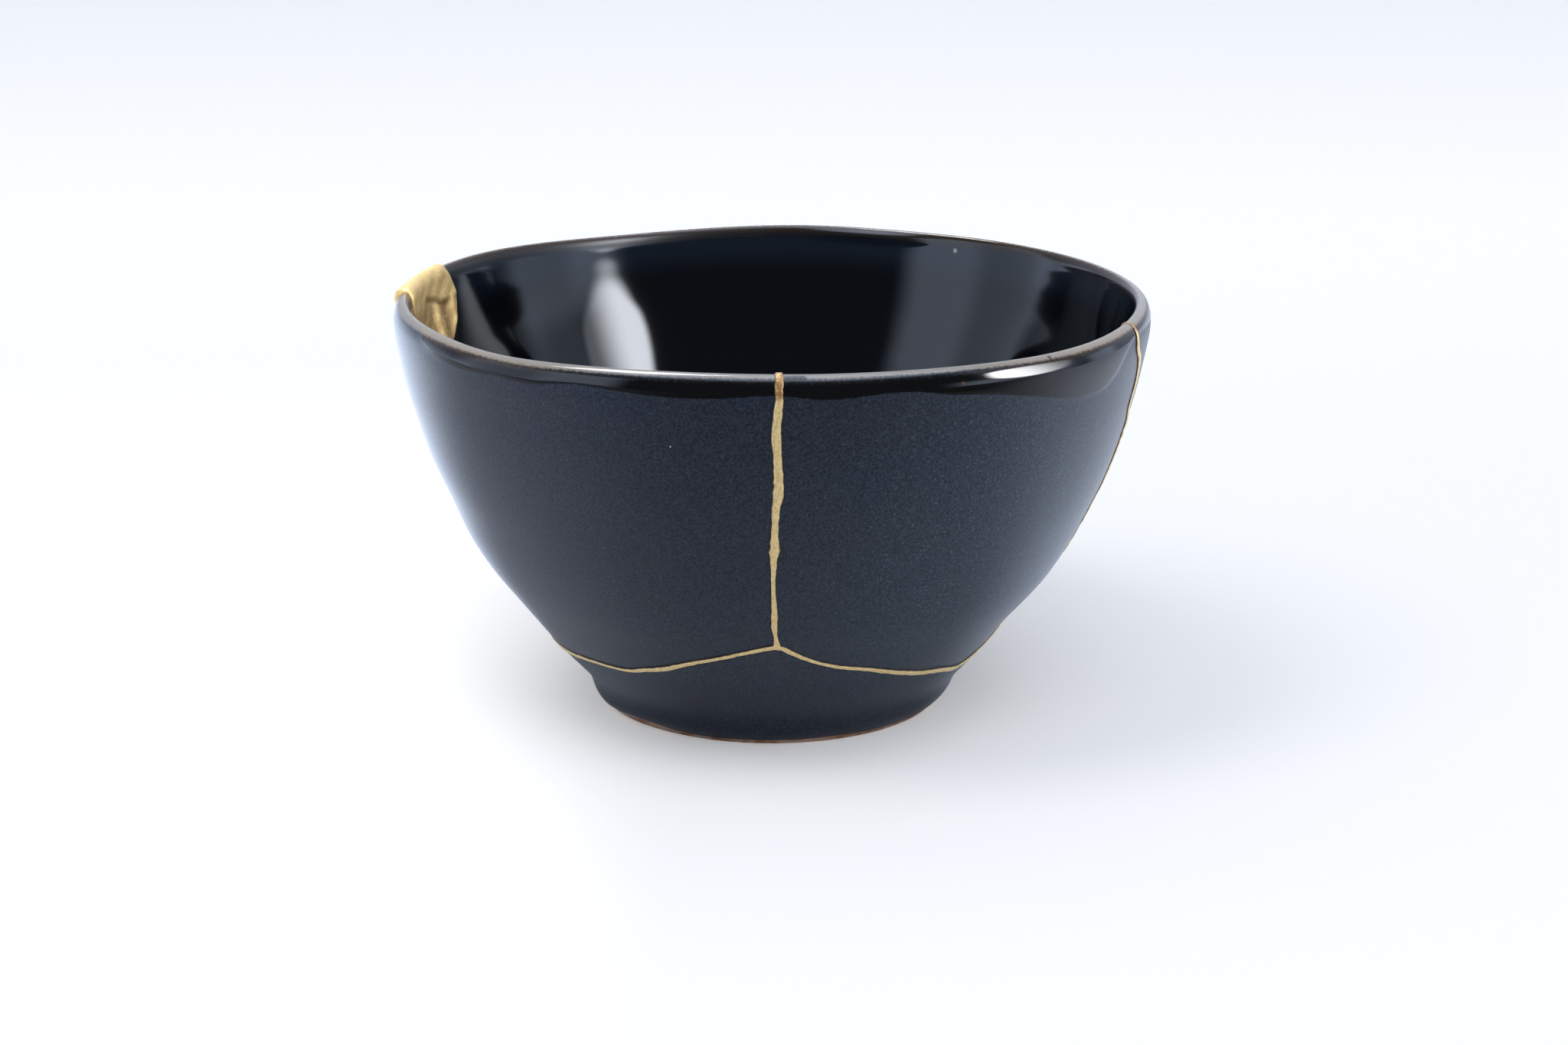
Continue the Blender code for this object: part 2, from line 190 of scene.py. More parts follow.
def handFormed(angle, height, radius):
    bulge = potterWaves(angle, height)
    for centre, level, depth, width, reach in bowl["dents"]:
        bulge = bulge + depth * np.exp(-(turnBetween(angle, centre) / width) ** 2 - ((height - level) / reach) ** 2)
    radius = radius + bulge * ramp(radius, 5, 30)
    height = height + rimRise(angle, height)
    turn = np.radians(angle)
    return np.stack([radius * np.sin(turn), -radius * np.cos(turn), height], axis=-1)


def bowlPoint(angle, station, lift=0.0):
    # a point on the bowl's skin, lifted off it square to the section
    angle, station, lift = np.broadcast_arrays(np.asarray(angle, float), station, lift)
    at = section["station"]
    height = np.interp(station, at, section["height"]) + lift * np.interp(station, at, section["up"])
    radius = np.interp(station, at, section["radius"]) + lift * np.interp(station, at, section["out"])
    return handFormed(angle, height, np.maximum(radius, 0))


def skinNormal(angle, station):
    small = 0.05
    across = bowlPoint(angle + small, station) - bowlPoint(angle - small, station)
    along = bowlPoint(angle, station + small) - bowlPoint(angle, station - small)
    normal = np.cross(across, along)
    normal *= np.sign(np.sum(normal * (bowlPoint(angle, station, 0.1) - bowlPoint(angle, station)), axis=-1))[:, None]
    return normal / np.linalg.norm(normal, axis=-1)[:, None]


# the breaks, each as (angle, level, width of the gold)

breaks = {
    "front": [(1.3, 90, 1.1), (1.29, 82, 1.1), (1.22, 80.7, 1.2), (0.87, 78.2, 1.35), (0.56, 72.9, 1.6),
              (0.72, 69, 1.5), (0.9, 63.1, 1.65), (0.86, 61.2, 1.8), (0.6, 59, 1.45), (0.37, 53.7, 1.1),
              (0.35, 50.3, 1.5), (0.2, 46.8, 1.0), (0.13, 41.8, 0.6), (0.34, 35.5, 1.0), (0.35, 32.2, 1.0),
              (0.57, 30, 0.6), (0.95, 27.1, 1.25)],
    "side": [(68.6, 90, 1.2), (67.7, 80.5, 1.2), (71.1, 75.3, 1.3), (72.7, 71, 1.3), (72.6, 65.5, 1.2),
             (75.3, 62, 1.2), (76, 55, 1.0), (79, 38, 1.0), (81, 28, 1.2), (84, 20.5, 1.1)],
    "base": [(-60, 15.4, 1.1), (-50, 16.2, 0.8), (-37, 16.7, 0.7), (-31, 17.9, 1.0), (-24, 19.6, 1.2),
             (-18, 21.7, 0.9), (-10, 24.1, 0.8), (-4, 26.0, 0.9), (0.95, 27.1, 1.2), (4.7, 25.1, 0.9),
             (9, 22.9, 0.7), (15, 21, 0.8), (21, 19.8, 0.9), (29, 17.7, 1.1), (38, 15.7, 1.2), (47, 14.4, 1.2),
             (55, 12.9, 1.3), (62, 13.7, 1.1), (72, 15.8, 1.0), (84, 20.5, 1.1), (98, 17.6, 0.9),
             (128, 16.6, 0.8), (160, 20.4, 1.0), (195, 18.2, 0.8), (230, 19.4, 1.0), (262, 16.2, 0.9),
             (284, 15.0, 1.0)],
}
fineBreaks = {}
for name, stations in breaks.items():
    closing = [(stations[0][0] + 360,) + stations[0][1:], (stations[1][0] + 360,) + stations[1][1:]]
    opening = [(stations[-1][0] - 360,) + stations[-1][1:]]
    fineBreaks[name] = smoothCurve(opening + stations + closing if name == "base" else stations, 12)


def breakAngle(name, level):
    line = fineBreaks[name][::-1]
    return np.interp(level, line[:, 1], line[:, 0])


def baseBreakLevel(angle):
    line = fineBreaks["base"]
    return np.interp((angle + 60) % 360 - 60, line[:, 0], line[:, 1])


# the glaze: where the glossy second coat ends, and where the bare clay of the foot begins

glazeLines = {
    "bandEdge": [(-170, 79.6), (-145, 78.2), (-122, 79.8), (-104, 84), (-85, 85), (-71, 85), (-65.5, 83.6),
                 (-62.5, 82.1), (-60.5, 80.9), (-56, 79.8), (-49, 79.5), (-42, 79.9), (-36, 79.5),
                 (-28, 80.4), (-16, 79.4), (-8, 79.4), (0, 80.1), (8, 79.3),
                 (18, 80.1), (26, 78.8), (33, 77.9), (42, 75.8), (49, 73.8), (56, 73.6), (60, 75.7), (67, 80.8),
                 (90, 80), (115, 78.5), (140, 79.5), (165, 78)],                     # (angle, height)
    "clayEdge": [(-170, 1.0), (-130, 1.3), (-90, 0.9), (-52, 1.9), (-40, 1.7), (-31, 0.9), (-10, 0.9),
                 (8, 1.0), (20, 1.15), (40, 0.9), (70, 1.2), (110, 0.9), (150, 1.2)],
    # how far out from the crest the thin, pale glaze reaches, as (angle, mm)
    "thinTo": [(-160, 1.2), (-110, 1.5), (-85, 1.9), (-62, 1.7), (-49, 1.5), (-36, 1.7), (-25, 1.6), (-6, 1.4),
               (6, 1.5), (19, 1.3), (32, 1.4), (50, 1.6), (68, 1.6), (95, 1.3), (140, 1.0)],
    "bandLift": 0.13,
    "bandRoll": 0.7,
    "clayStep": 0.22,
}


def roundLine(points, angle):
    first, last = points[0], points[-1]
    closed = [(last[0] - 360, last[1])] + points + [(first[0] + 360, first[1])]
    line = smoothCurve(closed, 12)
    return np.interp((angle - first[0]) % 360 + first[0], line[:, 0], line[:, 1])


def glazeLift(angle, station):
    height = np.interp(station, section["station"], section["height"])
    outside = ramp(station, 0.5, 2.5)
    aboveEdge = height - roundLine(glazeLines["bandEdge"], angle)
    band = glazeLines["bandLift"] * ramp(aboveEdge, -glazeLines["bandRoll"], glazeLines["bandRoll"])
    clay = glazeLines["clayStep"] * (1 - ramp(height - roundLine(glazeLines["clayEdge"], angle), -0.25, 0.25))
    footFlat = ramp(height, 0.0, 0.4)
    inner = 0 * height
    for centre, level, extra, width, reach in bowl["innerBulges"]:
        inner = inner + extra * np.exp(-(turnBetween(angle, centre) / width) ** 2 - ((height - level) / reach) ** 2)
    inner = inner * ramp(station, -0.4, -1.6)
    return inner + outside * band - outside * clay * footFlat * (station < section["station"][-1] - 36)


# the gold fill's outline, as (mm round the rim from its middle, mm from the crest, outside positive)

rimFill = {
    "angle": -100.5,
    "middle": (1.0, -4.5),
    "outline": [(-11.6, 0.8), (-12.2, -0.9), (-13.2, -2.4), (-14.4, -4.8), (-14.7, -7.4), (-13.6, -10.0),
                (-11.2, -12.6), (-8.4, -15.0), (-2, -17.2), (6.5, -16.0), (11.5, -12.2), (14.9, -6.6),
                (15.9, -1.5), (15.0, 1.6), (11, 4.4), (6, 7.6), (0, 8.8), (-5, 7.4), (-9.2, 4.2)],
    "recess": 1.5,
}
loop = rimFill["outline"]
fillOutline = smoothCurve(loop[-2:] + loop + loop[:2], 12)[24:24 + len(loop) * 12]
rimLength = math.radians(bowl["rimRadius"])        # mm round the rim for a degree


def fillInset(angle, station):
    # how far inside the fill's outline a place of the skin lies, in mm, and negative outside it
    across = turnBetween(angle, rimFill["angle"]) * rimLength
    inset = np.full(np.shape(across), -9.0)
    near = (np.abs(across) < 20) & (np.abs(station + 4) < 16)
    places = np.stack([across[near], station[near]], axis=-1)
    if not len(places):
        return inset
    ahead = np.roll(fillOutline, -1, axis=0)
    distance = np.linalg.norm(places[:, None] - fillOutline[None], axis=2).min(axis=1)
    px, py = places[:, :1], places[:, 1:]
    crosses = (fillOutline[:, 1] > py) != (ahead[:, 1] > py)
    rise = ahead[:, 1] - fillOutline[:, 1] + 1e-12
    crossing = fillOutline[:, 0] + (py - fillOutline[:, 1]) / rise * (ahead[:, 0] - fillOutline[:, 0])
    inside = (crosses & (px < crossing)).sum(axis=1) % 2 == 1
    inset[near] = np.where(inside, distance, -distance)
    return inset


def shardPoint(angle, station):
    lift = glazeLift(angle, station) - rimFill["recess"] * ramp(fillInset(angle, station), 2.0, 3.4)
    return bowlPoint(angle, station, lift)


# meshes

def makePiece(name, points, faces, node, material):
    mesh = bpy.data.meshes.new(name)
    mesh.from_pydata((points * mm).tolist(), [], faces)
    mesh.validate()
    mesh.shade_smooth()
    piece = bpy.data.objects.new(name, mesh)
    bpy.context.scene.collection.objects.link(piece)
    mesh.materials.append(material)
    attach(piece, "root")
    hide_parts(node)
    print(name, len(mesh.polygons), "faces")
    return piece


def gridFaces(rows, columns, wrapRows=False, wrapColumns=False, first=0):
    down, across = np.meshgrid(np.arange(rows - 1 + wrapRows), np.arange(columns - 1 + wrapColumns), indexing="ij")
    nextDown = (down + 1) % rows
    nextAcross = (across + 1) % columns
    corners = [down * columns + across, down * columns + nextAcross,
               nextDown * columns + nextAcross, nextDown * columns + across]
    return (np.stack(corners, axis=-1).reshape(-1, 4) + first).tolist()


def crowded(count, places, width, strength):
    # shares from 0 to 1 that crowd together near the given places
    share = np.linspace(0, 1, 4001)
    density = np.ones_like(share)
    for place in places:
        density += strength * np.exp(-((share - place) / width) ** 2)
    total = np.concatenate([[0], np.cumsum((density[1:] + density[:-1]) / 2)])
    return np.interp(np.linspace(0, total[-1], count), total, share)


halfGap = 0.15      # from the middle of a break to the shard's edge, all covered by the gold


def wallShard(name, startBreak, startTurn, endBreak, endTurn, columns, rows, material):
    share = crowded(columns, [0, 1], 0.02, 2)

    def angleAt(level):
        outward = halfGap / 1.2      # degrees that keep the edge clear of the break
        start = breakAngle(startBreak, level) + startTurn + outward
        end = breakAngle(endBreak, level) + endTurn - outward
        return start + (end - start) * share

    bottom = np.full(columns, 18.0)
    for _ in range(30):
        bottom = baseBreakLevel(angleAt(bottom)) + halfGap
    top = bowl["height"] - bowl["rimRounding"] - 1
    up = crowded(rows, [1], 0.12, 2.2)
    arc = np.linspace(0, 1, 25)[1:]
    outerRows, innerRows, angles = [], [], []
    for step in up:
        level = bottom + (top - bottom) * step
        angles.append(angleAt(level))
        outerRows.append(outsideAt(level))
        innerRows.append(insideAt(level))
    for step in arc:
        angles.append(angles[rows - 1])
        outerRows.append(outsideAt(top) * (1 - step) + 0 * bottom)
        innerRows.append(insideAt(top) * (1 - step) + 0 * bottom)
    station = np.array(outerRows + innerRows[-2::-1])
    angle = np.array(angles + angles[-2::-1])
    count = len(station)
    faces = gridFaces(count, columns, wrapRows=True)
    for edge in (0, columns - 1):
        for row in range(count // 2):
            low, high = row * columns + edge, (row + 1) * columns + edge
            lowIn, highIn = (count - 1 - row) * columns + edge, (count - 2 - row) * columns + edge
            face = [low, high, highIn, lowIn] if high != highIn else [low, high, lowIn]
            faces.append(face if edge == 0 else face[::-1])
    points = shardPoint(angle, station).reshape(-1, 3)
    shard = makePiece(name, points, faces, name, material)
    paintShard(shard, angle.ravel(), station.ravel())
    return shard


def baseShard(name, columns, material):
    angle = np.linspace(-180, 180, columns, endpoint=False)
    edge = baseBreakLevel(angle) - halfGap
    outerEdge, innerEdge = outsideAt(edge), insideAt(edge)
    floorMiddle, underside = section["station"][0], section["station"][-1]
    footTop = outsideAt(3.0)
    stations = [innerEdge * step + floorMiddle * (1 - step) for step in np.linspace(0.004, 1, 64)]
    stations += [outerEdge * (1 - step) + footTop * step for step in np.linspace(0, 1, 26)]
    stations += [footTop + (underside - footTop) * step + 0 * edge
                 for step in crowded(90, [0.03, 0.16], 0.06, 4)[1:-1]]
    station = np.array(stations)
    rows = len(station)
    angles = angle[None] + 0 * station
    points = shardPoint(angles, station).reshape(-1, 3)
    middles = np.array([floorMiddle, underside])
    ends = bowlPoint(np.zeros(2), middles)
    faces = gridFaces(rows, columns, wrapColumns=True)
    lastRow = (rows - 1) * columns
    for step in range(columns):
        after = (step + 1) % columns
        faces.append([rows * columns, after, step])
        faces.append([rows * columns + 1, lastRow + step, lastRow + after])
    shard = makePiece(name, np.vstack([points, ends]), faces, name, material)
    paintShard(shard, np.append(angles.ravel(), (0, 0)), np.append(station.ravel(), middles))
    return shard


# the gold seams: a domed bead of lacquer on each break, with a thin web of it through the wall

bead = {
    "step": 0.3,               # mm between two cross-sections
    "height": 0.34,            # crown of the bead over the glaze, for a bead 1 mm wide
    "web": 0.1,                # half the thickness of the lacquer inside the wall
    "depth": 1.85,
    "dome": 15,                # points over the dome
    "edgeNoise": 0.13,
    "bareEdge": 0.13,          # width of the lacquer that shows beside the gold
    # for each seam, how far out from the crest its gold is painted a darker brown, and how much narrower it is over
    # the rim
    "overRim": {"front": (5.0, 0.0), "side": (2.6, 0.75), "base": (0.0, 0.0)},
    "knobs": [("front", 49.6, 0.45, 0.9), ("front", 61.5, 0.15, 2.0), ("front", 27.1, 0.3, 1.0)],
}


def smoothNoise(seed, distance, wavelength):
    count = int(distance[-1] / wavelength) + 4
    values = np.random.default_rng(seed).uniform(-1, 1, count)
    place = distance / wavelength
    cell = place.astype(int)
    share = place - cell
    share = share * share * (3 - 2 * share)
    return values[cell] * (1 - share) + values[cell + 1] * share


def beadMesh(name, angle, station, width, closed, seed, first):
    # points and faces of one bead that follows the skin
    centre = bowlPoint(angle, station, glazeLift(angle, station))
    lengths = np.linalg.norm(np.diff(centre, axis=0), axis=1)
    distance = np.concatenate([[0], np.cumsum(lengths)])
    even = np.linspace(0, distance[-1], int(distance[-1] / bead["step"]) + 1)
    if closed:
        even = even[:-1]
    angle, station, width = (np.interp(even, distance, value) for value in (angle, station, width))
    centre = bowlPoint(angle, station, glazeLift(angle, station))
    normal = skinNormal(angle, station)
    if closed:
        along = np.roll(centre, -1, axis=0) - np.roll(centre, 1, axis=0)
    else:
        along = np.gradient(centre, axis=0)
    side = np.cross(along, normal)
    side /= np.linalg.norm(side, axis=1)[:, None]
    fade = ramp(even, 0, 3) * ramp(even[-1] - even, 0, 3) if closed else 1
    noise = [fade * (smoothNoise(seed + k, even, 1.1) + 0.6 * smoothNoise(seed + 9 + k, even, 0.45)) for k in range(4)]
    left = width / 2 * (1 + bead["edgeNoise"] * noise[0]) + bead["bareEdge"]
    right = width / 2 * (1 + bead["edgeNoise"] * noise[1]) + bead["bareEdge"]
    crown = bead["height"] * np.sqrt(width) * (1 + 0.14 * noise[2])
    rows, bare = [], []
    # the gold is darker brown from just inside the crest to that far down the outside
    darkerGoldTo = bead["overRim"][name][0]
    darkerGold = ramp(station, -6, -3) * (1 - ramp(station, darkerGoldTo - 0.8, darkerGoldTo + 0.8))
    for turn in np.linspace(0, np.pi, bead["dome"]):
        reach = np.cos(turn)
        bare.append(0 * even + ramp(abs(reach), 0.8, 0.93))
        half = left if reach > 0 else right
        ridge = 1 + 0.1 * np.sin(7 * reach + 2.5 * noise[3]) * np.sin(turn)
        high = crown * np.sin(turn) ** 0.75 * ridge - 0.04
        rows.append(centre + side * (half * reach)[:, None] + normal * high[:, None])
    for reach, deep in ((-1, 0.3), (-1, 1), (1, 1), (1, 0.3)):
        depth = bead["depth"] if deep == 1 else deep
        rows.append(centre + side * (reach * bead["web"]) - normal * depth)
    count = len(even)
    bare += [0 * even + 1] * 4
    points = np.array(rows).reshape(-1, 3)
    masks = np.stack([np.tile(darkerGold, len(rows)), np.concatenate(bare)])
    faces = gridFaces(len(rows), count, wrapRows=True, wrapColumns=closed, first=first)
    if not closed:
        faces.append([first + row * count for row in range(len(rows))])
        faces.append([first + row * count + count - 1 for row in range(len(rows))][::-1])
    return points, faces, masks


def seamRoute(name):
    # a wall break's way up the outside, over the rim and down the inside
    line = fineBreaks[name]
    line = line[line[:, 1] <= bowl["height"] - bowl["rimRounding"]]
    up, down = line[::-1], line
    over = np.linspace(outsideAt(up[-1, 1]), insideAt(down[0, 1]), 40)[1:-1]
    angle = np.concatenate([up[:, 0], 0 * over + up[-1, 0], down[:, 0]])
    width = np.concatenate([up[:, 2], 0 * over + up[-1, 2], down[:, 2]])
    station = np.concatenate([outsideAt(up[:, 1]), over, insideAt(down[:, 1])])
    width = width * (1 - bead["overRim"][name][1] * np.exp(-((station + 0.3) / 2.4) ** 2))
    for seam, level, extra, reach in bead["knobs"]:
        if seam == name:
            width = width + extra * np.exp(-((station - outsideAt(level)) / reach) ** 2)
    return angle, station, width


def goldSeams(material):
    routes = [("front", *seamRoute("front"), False, 11), ("side", *seamRoute("side"), False, 31)]
    loopAngle = np.linspace(-60, 300, 721)
    level = baseBreakLevel(loopAngle)
    line = fineBreaks["base"]
    width = np.interp(loopAngle, line[:, 0], line[:, 2])
    routes.append(("base", loopAngle, outsideAt(level), width, True, 51))
    routes.append(("base", loopAngle, insideAt(level), width, True, 71))
    allPoints, allFaces, allMasks = [], [], []
    for name, angle, station, width, closed, seed in routes:
        first = sum(len(points) for points in allPoints)
        points, faces, masks = beadMesh(name, angle, station, width, closed, seed, first)
        allPoints.append(points)
        allFaces += faces
        allMasks.append(masks)
    seams = makePiece("gold_seams", np.vstack(allPoints), allFaces, "gold_seams", material)
    darkerGold, bare = np.hstack(allMasks)
    paintMask(seams, "paintedShadeAndDarkGold", darkerGold)
    paintMask(seams, "bareEdge", bare)
    return seams


def fillLift(across, station, inset):
    # the lacquer's lumps: a thick lip on the crest, ridges down the right of it, a hollow at the lower left
    edge = np.sqrt(np.clip(1 - (1 - np.clip(inset / 1.1, 0, 1)) ** 2, 0, 1))
    lip = 0.2 * np.exp(-((station + 0.4) / 2.2) ** 2)
    sharp = 1 - ramp(across, 1, 6)
    plateau = 0.4 * (sharp * ramp(station - creaseLevel(across), -0.8, 0.8) + (1 - sharp) * ramp(station, -10, -1))
    ridges = 0.55 * np.exp(-((across + 2.6) / 1.3) ** 2) + 0.5 * np.exp(-((across + 11.8) / 1.3) ** 2)
    ridges *= ramp(-station, 5.5, 7.5)
    tip = 0.45 * np.exp(-((across - 12.5) / 3) ** 2 - ((station - 2.5) / 3) ** 2)
    lumps = 0.1 * np.sin(across * 0.9 + 0.6 * station) * np.sin(station * 0.8 - 0.4)
    return edge * (0.25 + lip + plateau + ridges + tip + lumps) - 0.05


def creaseLevel(across):
    # where the thick upper part of the fill ends, as a distance from the crest
    return -4.2 - 0.28 * np.clip(2 - across, 0, 9)


def fillShadeAndBrown(across, station):
    # painted shade where the gold lies low, in the groove between two ridges and at the foot of the thick upper part,
    # and a broad place of brown gold
    grooveShade = np.exp(-((across + 7.0) / 2.0) ** 2) * ramp(-station, 6, 7.5)
    broad = ramp(across, -1.2, 1.0) * ramp(-station, 3.5, 7)
    creaseShade = np.exp(-((station - creaseLevel(across) + 0.5) / 0.6) ** 2) * ramp(across, -12, -9)
    return np.clip(grooveShade + 0.8 * broad + 0.7 * creaseShade * (1 - ramp(across, 3, 6)), 0, 1)


def goldFill(material):
    middle = np.array(rimFill["middle"])
    columns = len(fillOutline)
    shares = 1 - crowded(64, [0], 0.1, 3)[:-1]
    grid = middle + (fillOutline - middle) * shares[:, None, None]
    across, station = grid[..., 0], grid[..., 1]
    angle = rimFill["angle"] + across / rimLength
    inset = fillInset(angle, station)
    inset[0] = 0
    skin = glazeLift(angle, station)
    top = bowlPoint(angle, station, skin + fillLift(across, station, inset))
    under = bowlPoint(angle[::6], station[::6], skin[::6] - rimFill["recess"] * ramp(inset[::6], 2.0, 3.2) - 0.15)
    points = np.vstack([top[::-1].reshape(-1, 3), under.reshape(-1, 3)])
    rows = len(top) + len(under)
    ends = bowlPoint(np.full(2, rimFill["angle"] + middle[0] / rimLength), np.full(2, middle[1]),
                     np.array([fillLift(middle[0], middle[1], np.array(9.0)), -rimFill["recess"] - 0.15]))
    faces = gridFaces(rows, columns, wrapColumns=True)
    lastRow = (rows - 1) * columns
    for step in range(columns):
        after = (step + 1) % columns
        faces.append([rows * columns, after, step])
        faces.append([rows * columns + 1, lastRow + step, lastRow + after])
    fill = makePiece("rim_gold_fill", np.vstack([points, ends]), faces, "rim_gold_fill", material)
    # painted shade in the fill's groove and crease, and its broad brown place
    paintedShadeAndDarkGold = np.zeros(len(points) + 2)
    paintedShadeAndDarkGold[:across.size] = fillShadeAndBrown(across, station)[::-1].ravel()
    paintMask(fill, "paintedShadeAndDarkGold", paintedShadeAndDarkGold)
    return fill


# materials

def addNode(tree, kind, values={}, links={}, **settings):
    node = tree.nodes.new("ShaderNode" + kind)
    for setting, value in settings.items():
        setattr(node, setting, value)
    for socket, value in values.items():
        node.inputs[socket].default_value = value
    for socket, source in links.items():
        tree.links.new(source, node.inputs[socket])
    return node


def maths(tree, operation, first, second=None, clamp=False):
    node = addNode(tree, "Math", operation=operation, use_clamp=clamp)
    for socket, source in enumerate((first, second)):
        if isinstance(source, (int, float)):
            node.inputs[socket].default_value = source
        elif source is not None:
            tree.links.new(source, node.inputs[socket])
    return node.outputs[0]


def rampOf(tree, source, low, high, start=0.0, end=1.0):
    node = addNode(tree, "MapRange", interpolation_type="SMOOTHSTEP", links={"Value": source},
                   values={"To Min": start, "To Max": end})
    for socket, value in (("From Min", low), ("From Max", high)):
        if isinstance(value, (int, float)):
            node.inputs[socket].default_value = value
        else:
            tree.links.new(value, node.inputs[socket])
    return node.outputs[0]


def blended(tree, share, first, second):
    node = addNode(tree, "Mix", data_type="RGBA", links={"Factor": share})
    for socket, colour in ((6, first), (7, second)):
        if isinstance(colour, tuple):
            node.inputs[socket].default_value = (*colour, 1)
        else:
            tree.links.new(colour, node.inputs[socket])
    return node.outputs[2]


def makeGroup(name, inputs, outputs):
    group = bpy.data.node_groups.new(name, "ShaderNodeTree")
    for socket, value in inputs.items():
        kind = "NodeSocketVector" if value is None else "NodeSocketFloat"
        made = group.interface.new_socket(name=socket, in_out="INPUT", socket_type=kind)
        if value is not None:
            made.default_value = value
    for socket in outputs:
        group.interface.new_socket(name=socket, in_out="OUTPUT", socket_type="NodeSocketFloat")
    return group, group.nodes.new("NodeGroupInput").outputs, group.nodes.new("NodeGroupOutput").inputs


def speckleGroup():
    # soft spots of one size: crystals in the glaze, grains of gold powder, pits
    group, given, result = makeGroup("speckle", {"Place": None, "Size": 0.4, "Cover": 0.5, "Softness": 0.1},
                                     ["Mask", "Height"])
    scale = maths(group, "DIVIDE", 1.0, given["Size"])
    noise = addNode(group, "TexNoise", links={"Vector": given["Place"], "Scale": scale},
                    values={"Detail": 2.5, "Roughness": 0.6})
    level = maths(group, "SUBTRACT", 1.0, given["Cover"])
    low = maths(group, "SUBTRACT", level, given["Softness"])
    high = maths(group, "ADD", level, given["Softness"])
    group.links.new(rampOf(group, noise.outputs[0], low, high), result["Mask"])
    group.links.new(noise.outputs[0], result["Height"])
    return group


def raggedEdgeGroup():
    # a mask that is 1 where the distance is above 0, with an edge broken up by grain
    group, given, result = makeGroup("raggedEdge", {"Distance": 0.0, "Place": None, "Ragged": 0.5, "Grain": 1.0,
                                                    "Softness": 0.2}, ["Mask"])
    scale = maths(group, "DIVIDE", 1.0, given["Grain"])
    noise = addNode(group, "TexNoise", links={"Vector": given["Place"], "Scale": scale}, values={"Detail": 3})
    shift = maths(group, "MULTIPLY", maths(group, "SUBTRACT", noise.outputs[0], 0.5), given["Ragged"])
    moved = maths(group, "ADD", given["Distance"], maths(group, "MULTIPLY", shift, 4.0))
    low = maths(group, "MULTIPLY", given["Softness"], -1.0)
    group.links.new(rampOf(group, moved, low, given["Softness"]), result["Mask"])
    return group


def spotGroup():
    # one round mark at a place of its own, such as a pit or a pale speck
    group, given, result = makeGroup("spot", {"Place": None, "Centre": None, "Radius": 0.5}, ["Mask"])
    apart = addNode(group, "VectorMath", operation="DISTANCE", links={0: given["Place"], 1: given["Centre"]})
    inner = maths(group, "MULTIPLY", given["Radius"], 0.55)
    mask = rampOf(group, apart.outputs["Value"], inner, given["Radius"], 1.0, 0.0)
    group.links.new(mask, result["Mask"])
    return group


groups = {"speckle": speckleGroup(), "raggedEdge": raggedEdgeGroup(), "spot": spotGroup()}


def effect(tree, name, output="Mask", links={}, **values):
    node = tree.nodes.new("ShaderNodeGroup")
    node.node_tree = groups[name]
    for socket, value in values.items():
        node.inputs[socket].default_value = value
    for socket, source in links.items():
        tree.links.new(source, node.inputs[socket])
    return node.outputs[output]


def newMaterial(name):
    material = bpy.data.materials.new(name)
    material.use_nodes = True
    tree = material.node_tree
    coordinates = addNode(tree, "TexCoord")
    place = addNode(tree, "VectorMath", operation="SCALE", links={0: coordinates.outputs["Object"]},
                    values={"Scale": 1 / mm})
    return material, tree, tree.nodes["Principled BSDF"], place.outputs[0]


def stretched(tree, place, across, up):
    node = addNode(tree, "VectorMath", operation="MULTIPLY", links={0: place}, values={1: (1 / across, 1 / across, 1 / up)})
    return node.outputs[0]


glaze = {
    "navy": (0.0096, 0.0136, 0.0280),
    "crystal": (0.038, 0.060, 0.092),
    "dot": (0.080, 0.112, 0.145),
    "crystalSize": 0.42,
    "crystalCover": 0.5,
    "tealTint": (0.018, 0.042, 0.062),
    "brownTint": (0.020, 0.015, 0.019),
    "band": (0.0035, 0.0035, 0.0038),
    "inside": (0.0022, 0.0030, 0.0048),
    "blueRing": (0.009, 0.015, 0.027),
    "innerBrown": (0.030, 0.024, 0.021),
    "ochre": (0.085, 0.045, 0.018),
    "crestTan": (0.47, 0.42, 0.35),
    "crestPale": (0.36, 0.33, 0.30),
    "crestVeil": (0.030, 0.038, 0.046),
    "clay": (0.68, 0.48, 0.35),
    "terracotta": (0.44, 0.21, 0.11),
    "satinRoughness": 0.36,
    "glossRoughness": 0.06,
    "specular": 0.27,
}


# single marks in the glaze, as (place in mm, radius, colour); a pit is painted as its shade, a dark spot with no
# hollow in the mesh
marks = [((2.5, -74.1, 83.2), 0.8, "pitShade"), ((3.4, -74.2, 83.2), 1.0, "pitShade"), ((4.4, -74.1, 83.2), 1.0, "pitShade"),
         ((5.4, -74.0, 83.2), 0.9, "pitShade"),
         ((40.06, 59.34, 80.54), 0.6, "speck"), ((-18.22, -71.51, 70.1), 0.22, "speck"),
         ((-8.91, -72.96, 68.77), 0.35, "rust"), ((56.26, -34.6, 45.73), 0.5, "pitShade"),
         ((47.15, -43.1, 40.88), 0.45, "pitShade"), ((34.28, -67.06, 80.65), 0.45, "rust"),
         ((50.76, -53.88, 82.42), 0.6, "rust")]
markColours = {"pitShade": (0.005, 0.005, 0.006), "speck": (0.45, 0.45, 0.45), "rust": (0.10, 0.045, 0.030)}


